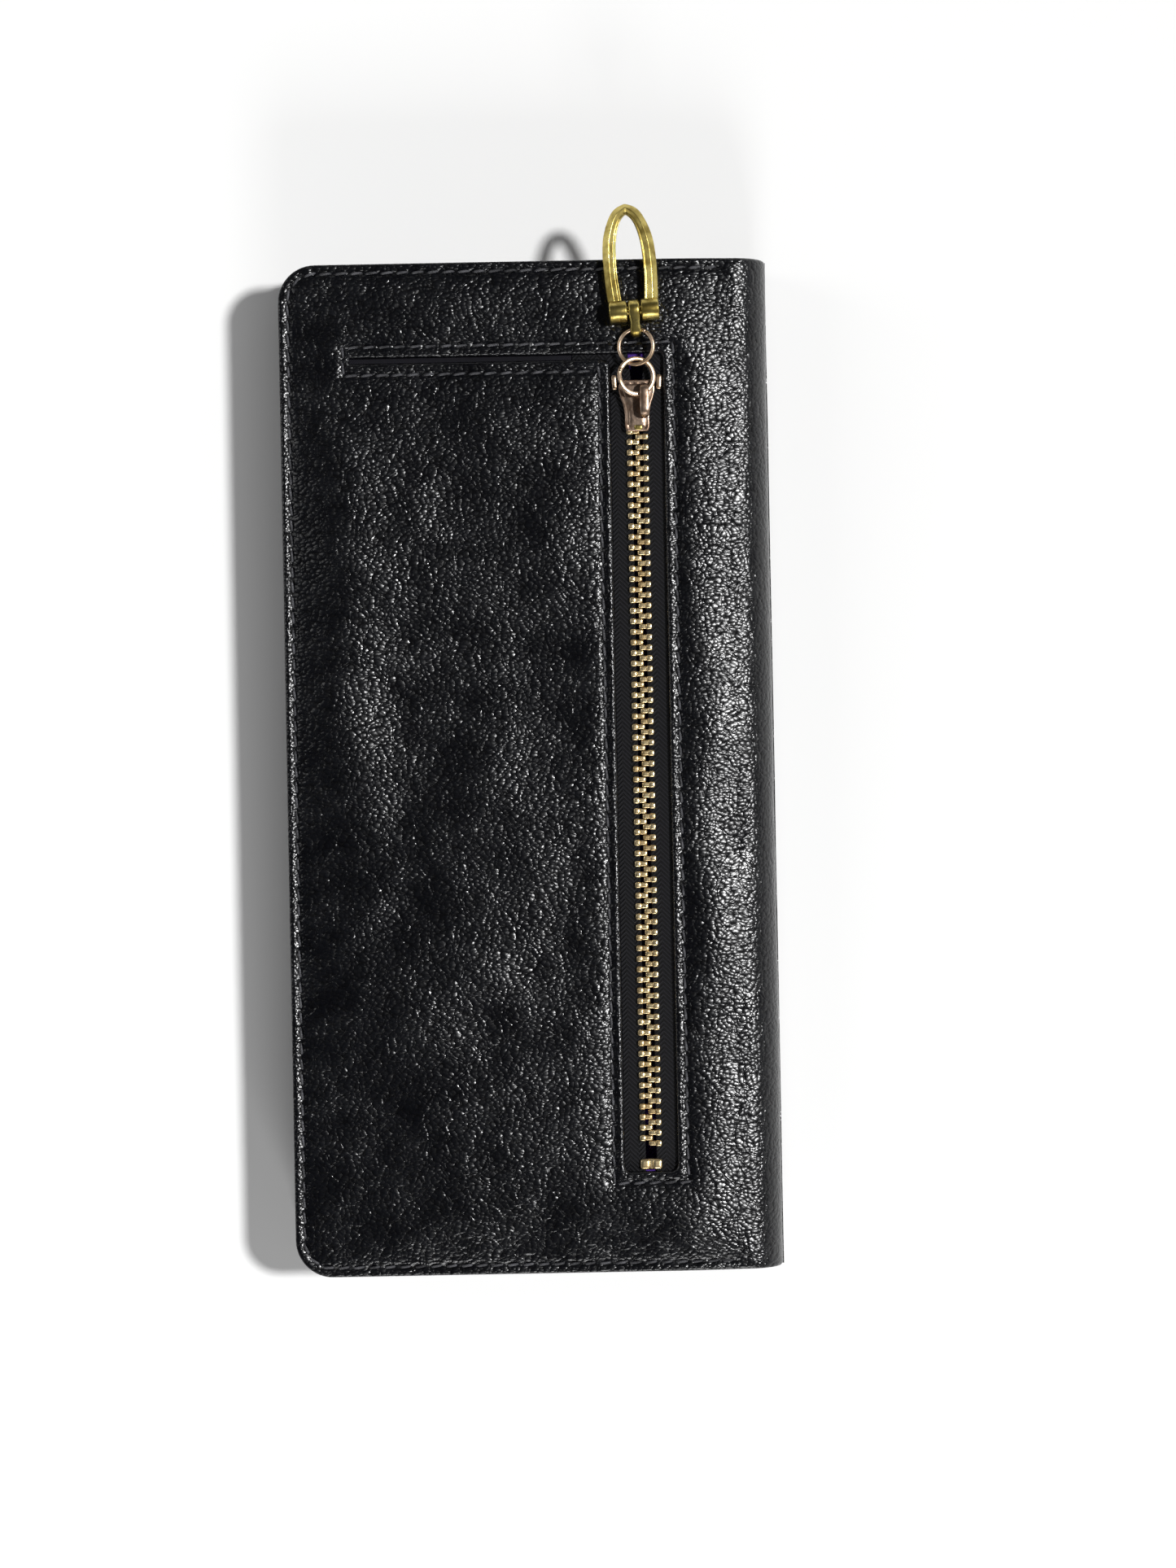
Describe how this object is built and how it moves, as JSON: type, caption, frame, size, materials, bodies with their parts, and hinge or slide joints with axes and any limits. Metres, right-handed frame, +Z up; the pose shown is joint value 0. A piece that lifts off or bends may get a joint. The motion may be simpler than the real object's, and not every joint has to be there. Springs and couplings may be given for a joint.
{
  "type": "long bifold wallet",
  "caption": "Long book-fold leather wallet with a straight zip coin pocket and slip pocket on its front cover, card rows inside, and a ring-hung loop puller on the slider.",
  "frame": {"origin": "centre of the closed wallet's outline on the back cover's rest face", "axes": "+X towards the spine, +Y along the long side towards the slider, +Z up through the closed wallet to the zip face"},
  "size_m": [0.092, 0.2002, 0.0242],
  "materials": {
    "outer_leather": "glossy grained",
    "inner_leather": "satin grained",
    "lining_cloth": "woven",
    "board": "matte",
    "zip_tape": "herringbone weave",
    "zip_brass": "polished",
    "antique_brass": "antique satin",
    "ring_wire": "polished",
    "puller_gold": "polished",
    "thread": "twisted thread"
  },
  "bodies": {
    "back_half": {"back_cover_leather": "outer_leather", "back_stiffener": "board", "back_lining": "lining_cloth", "back_edge_strip": "inner_leather", "back_pocket_panel": "inner_leather", "back_card_row_1": "inner_leather", "back_card_row_2": "inner_leather", "back_card_row_3": "inner_leather", "back_card_row_4": "inner_leather", "back_edge_stitching": "thread", "back_slot_stitching": "thread"},
    "spine": {"spine_leather": "outer_leather", "spine_lining": "lining_cloth", "spine_stiffener": "board"},
    "front_half": {"front_cover_leather": "outer_leather", "slip_pocket_facing": "inner_leather", "slip_pocket_backing": "inner_leather", "zip_tape_left": "zip_tape", "zip_tape_right": "zip_tape", "zip_teeth_left": "zip_brass", "zip_teeth_right": "zip_brass", "zip_top_stops": "antique_brass", "zip_bottom_stop": "antique_brass", "coin_pocket_outer_panel": "lining_cloth", "coin_pocket_gusset": "lining_cloth", "coin_pocket_inner_panel": "lining_cloth", "front_stiffener": "board", "front_lining": "lining_cloth", "front_edge_strip": "inner_leather", "front_pocket_panel": "inner_leather", "front_card_row_1": "inner_leather", "front_card_row_2": "inner_leather", "front_card_row_3": "inner_leather", "front_edge_stitching": "thread", "window_stitching": "thread", "front_slot_stitching": "thread"},
    "slider": {"slider_body": "antique_brass", "slider_bridge": "antique_brass"},
    "lower_link": {"lower_ring": "ring_wire"},
    "upper_link": {"upper_ring": "ring_wire"},
    "eye_link": {"puller_eye": "puller_gold"},
    "pull_loop": {"puller_loop": "puller_gold", "puller_pin": "puller_gold"}
  },
  "joints": [
    {"name": "spine_lower_fold", "type": "hinge", "parent": "back_half", "child": "spine", "pos_m": [0.04338, 0, 0.00262], "axis": [0, 1, 0], "range_deg": [0, 85], "deforming": ["spine_leather", "spine_lining"]},
    {"name": "spine_upper_fold", "type": "hinge", "parent": "spine", "child": "front_half", "pos_m": [0.04338, 0, 0.01738], "axis": [0, 1, 0], "range_deg": [0, 85], "deforming": ["spine_leather", "spine_lining"]},
    {"name": "slider_travel", "type": "slide", "parent": "front_half", "child": "slider", "axis": [0, -1, 0], "range_m": [0, 0.132], "deforming": ["zip_teeth_left", "zip_teeth_right"]},
    {"name": "lower_ring_swing", "type": "hinge", "parent": "slider", "child": "lower_link", "pos_m": [0.021, 0.06945, 0.0217], "axis": [1, 0, 0], "range_deg": [0, 35]},
    {"name": "upper_ring_swing", "type": "hinge", "parent": "lower_link", "child": "upper_link", "pos_m": [0.021, 0.0755, 0.0217], "axis": [1, 0, 0], "range_deg": [0, 30]},
    {"name": "puller_eye_swing", "type": "hinge", "parent": "upper_link", "child": "eye_link", "pos_m": [0.021, 0.08155, 0.0217], "axis": [0.9976, 0.0698, 0], "range_deg": [0, 25]},
    {"name": "puller_loop_swing", "type": "hinge", "parent": "eye_link", "child": "pull_loop", "pos_m": [0.02076, 0.08499, 0.02215], "axis": [0.9976, 0.0698, 0], "range_deg": [0, 60]}
  ],
  "couplings": [
    {"joint": "spine_upper_fold", "follows": "spine_lower_fold", "ratio": 1}
  ]
}
